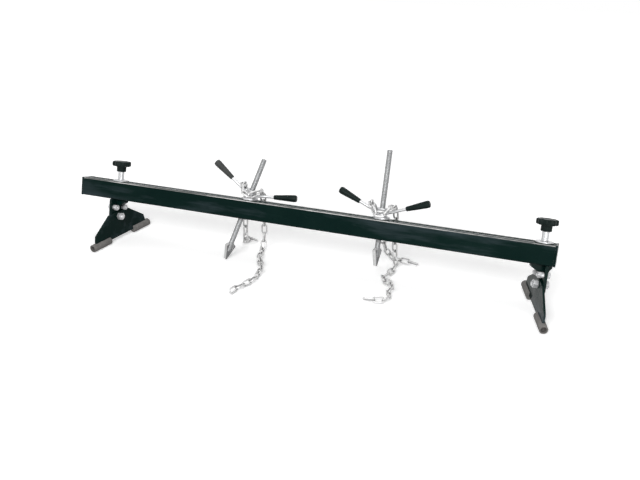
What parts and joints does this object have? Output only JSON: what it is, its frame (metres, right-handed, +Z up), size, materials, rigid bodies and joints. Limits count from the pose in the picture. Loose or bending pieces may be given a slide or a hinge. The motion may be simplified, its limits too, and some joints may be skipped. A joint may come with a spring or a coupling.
{
  "type": "engine support bar",
  "caption": "Slotted black beam on tilting feet with rubber pads and star knobs, carrying threaded spindles with wing-handle nuts, arrow hooks and loose chains.",
  "frame": {"origin": "on the floor under the centre of the bounding box at rest", "axes": "+X along the beam to the right as seen from the front, +Y to the back, +Z up; the bar stands on its four pads and leans back about 16 degrees"},
  "size_m": [1.5094, 0.3788, 0.3803],
  "materials": {
    "paint": "gloss black paint",
    "plastic": "satin black plastic",
    "rubber": "warm grey rubber",
    "zinc": "bright zinc plating",
    "steel": "plain steel"
  },
  "bodies": {
    "beam": {"rail_rear": "paint", "rail_front": "paint", "end_plate_right": "paint", "end_plate_left": "paint"},
    "left_foot_carriage": {"left_foot_guide_block": "steel"},
    "left_foot_swivel": {"left_foot_stud": "zinc", "left_foot_bracket": "paint", "left_foot_stop_bolt_1": "zinc", "left_foot_stop_nut_1": "zinc", "left_foot_stop_bolt_2": "zinc", "left_foot_stop_nut_2": "zinc", "left_foot_pivot_bolt": "zinc", "left_foot_pivot_nut": "zinc"},
    "left_foot_rest": {"left_foot_plate": "paint", "left_foot_pad_1": "rubber", "left_foot_pad_2": "rubber"},
    "left_foot_clamp": {"left_foot_washer": "zinc", "left_foot_sleeve": "zinc"},
    "left_foot_handwheel": {"left_foot_knob": "plastic"},
    "right_foot_carriage": {"right_foot_guide_block": "steel"},
    "right_foot_swivel": {"right_foot_stud": "zinc", "right_foot_bracket": "paint", "right_foot_stop_bolt_1": "zinc", "right_foot_stop_nut_1": "zinc", "right_foot_stop_bolt_2": "zinc", "right_foot_stop_nut_2": "zinc", "right_foot_pivot_bolt": "zinc", "right_foot_pivot_nut": "zinc"},
    "right_foot_rest": {"right_foot_plate": "paint", "right_foot_pad_1": "rubber", "right_foot_pad_2": "rubber"},
    "right_foot_clamp": {"right_foot_washer": "zinc", "right_foot_sleeve": "zinc"},
    "right_foot_handwheel": {"right_foot_knob": "plastic"},
    "left_spindle_carriage": {"left_spindle_seat": "zinc", "left_chain_drape": "zinc", "left_chain_short_end": "zinc", "left_chain_long_end": "zinc"},
    "left_spindle_swing": {"left_spindle_ring": "zinc"},
    "left_spindle_screw": {"left_spindle_rod": "steel", "left_spindle_hook": "steel"},
    "left_spindle_nut": {"left_spindle_hub": "zinc", "left_spindle_handle_1": "zinc", "left_spindle_grip_1": "plastic", "left_spindle_handle_2": "zinc", "left_spindle_grip_2": "plastic"},
    "right_spindle_carriage": {"right_spindle_seat": "zinc", "right_chain_drape": "zinc", "right_chain_short_end": "zinc", "right_chain_long_end": "zinc"},
    "right_spindle_swing": {"right_spindle_ring": "zinc"},
    "right_spindle_screw": {"right_spindle_rod": "steel", "right_spindle_hook": "steel"},
    "right_spindle_nut": {"right_spindle_hub": "zinc", "right_spindle_handle_1": "zinc", "right_spindle_grip_1": "plastic", "right_spindle_handle_2": "zinc", "right_spindle_grip_2": "plastic"}
  },
  "joints": [
    {"name": "left_foot_slide", "type": "slide", "parent": "beam", "child": "left_foot_carriage", "axis": [1, 0, 0], "range_m": [-0.104, 0.24]},
    {"name": "left_foot_swivel", "type": "hinge", "parent": "left_foot_carriage", "child": "left_foot_swivel", "pos_m": [-0.62567, 0.07029, 0.18823], "axis": [0, 0.2757, 0.9612], "continuous": true},
    {"name": "left_foot_tilt", "type": "hinge", "parent": "left_foot_swivel", "child": "left_foot_rest", "pos_m": [-0.62567, 0.03886, 0.07865], "axis": [-0.9866, 0.157, -0.045], "range_deg": [0, 31.6]},
    {"name": "left_foot_clamp_lift", "type": "slide", "parent": "left_foot_swivel", "child": "left_foot_clamp", "axis": [0, 0.2757, 0.9612], "range_m": [0, 0.00525]},
    {"name": "left_foot_knob_turn", "type": "hinge", "parent": "left_foot_clamp", "child": "left_foot_handwheel", "pos_m": [-0.62567, 0.07029, 0.18823], "axis": [0, 0.2757, 0.9612], "range_deg": [0, 1080]},
    {"name": "right_foot_slide", "type": "slide", "parent": "beam", "child": "right_foot_carriage", "axis": [1, 0, 0], "range_m": [-0.26, 0.0125]},
    {"name": "right_foot_swivel", "type": "hinge", "parent": "right_foot_carriage", "child": "right_foot_swivel", "pos_m": [0.70783, 0.07029, 0.18823], "axis": [0, 0.2757, 0.9612], "continuous": true},
    {"name": "right_foot_tilt", "type": "hinge", "parent": "right_foot_swivel", "child": "right_foot_rest", "pos_m": [0.70783, 0.03886, 0.07865], "axis": [0.9494, 0.3018, -0.0866], "range_deg": [-31.03, 0.57]},
    {"name": "right_foot_clamp_lift", "type": "slide", "parent": "right_foot_swivel", "child": "right_foot_clamp", "axis": [0, 0.2757, 0.9612], "range_m": [0, 0.00525]},
    {"name": "right_foot_knob_turn", "type": "hinge", "parent": "right_foot_clamp", "child": "right_foot_handwheel", "pos_m": [0.70783, 0.07029, 0.18823], "axis": [0, 0.2757, 0.9612], "range_deg": [0, 1080]},
    {"name": "left_spindle_slide", "type": "slide", "parent": "beam", "child": "left_spindle_carriage", "axis": [1, 0, 0], "range_m": [-0.26, 0.1]},
    {"name": "left_spindle_tilt", "type": "hinge", "parent": "left_spindle_carriage", "child": "left_spindle_swing", "pos_m": [-0.16367, 0.07359, 0.19977], "axis": [0, 0.9612, -0.2757], "range_deg": [-38, 2]},
    {"name": "left_spindle_lift", "type": "slide", "parent": "left_spindle_swing", "child": "left_spindle_screw", "axis": [0.309, 0.2622, 0.9142], "range_m": [-0.094, 0.082]},
    {"name": "left_spindle_nut_turn", "type": "hinge", "parent": "left_spindle_swing", "child": "left_spindle_nut", "pos_m": [-0.16367, 0.07359, 0.19977], "axis": [0.309, 0.2622, 0.9142], "range_deg": [-7380, 8460], "deforming": ["left_chain_drape", "left_chain_short_end", "left_chain_long_end"]},
    {"name": "right_spindle_slide", "type": "slide", "parent": "beam", "child": "right_spindle_carriage", "axis": [1, 0, 0], "range_m": [-0.1, 0.26]},
    {"name": "right_spindle_tilt", "type": "hinge", "parent": "right_spindle_carriage", "child": "right_spindle_swing", "pos_m": [0.25333, 0.07359, 0.19977], "axis": [0, 0.9612, -0.2757], "range_deg": [-21, 19]},
    {"name": "right_spindle_lift", "type": "slide", "parent": "right_spindle_swing", "child": "right_spindle_screw", "axis": [0.0175, 0.2757, 0.9611], "range_m": [-0.16, 0.017]},
    {"name": "right_spindle_nut_turn", "type": "hinge", "parent": "right_spindle_swing", "child": "right_spindle_nut", "pos_m": [0.25333, 0.07359, 0.19977], "axis": [0.0175, 0.2757, 0.9611], "range_deg": [-1530, 14400], "deforming": ["right_chain_drape", "right_chain_short_end", "right_chain_long_end"]}
  ],
  "couplings": [
    {"joint": "left_foot_knob_turn", "follows": "left_foot_clamp_lift", "rad_per_m": 3590.4},
    {"joint": "right_foot_knob_turn", "follows": "right_foot_clamp_lift", "rad_per_m": 3590.4},
    {"joint": "left_spindle_nut_turn", "follows": "left_spindle_lift", "rad_per_m": -1570.8},
    {"joint": "right_spindle_nut_turn", "follows": "right_spindle_lift", "rad_per_m": -1570.8}
  ]
}
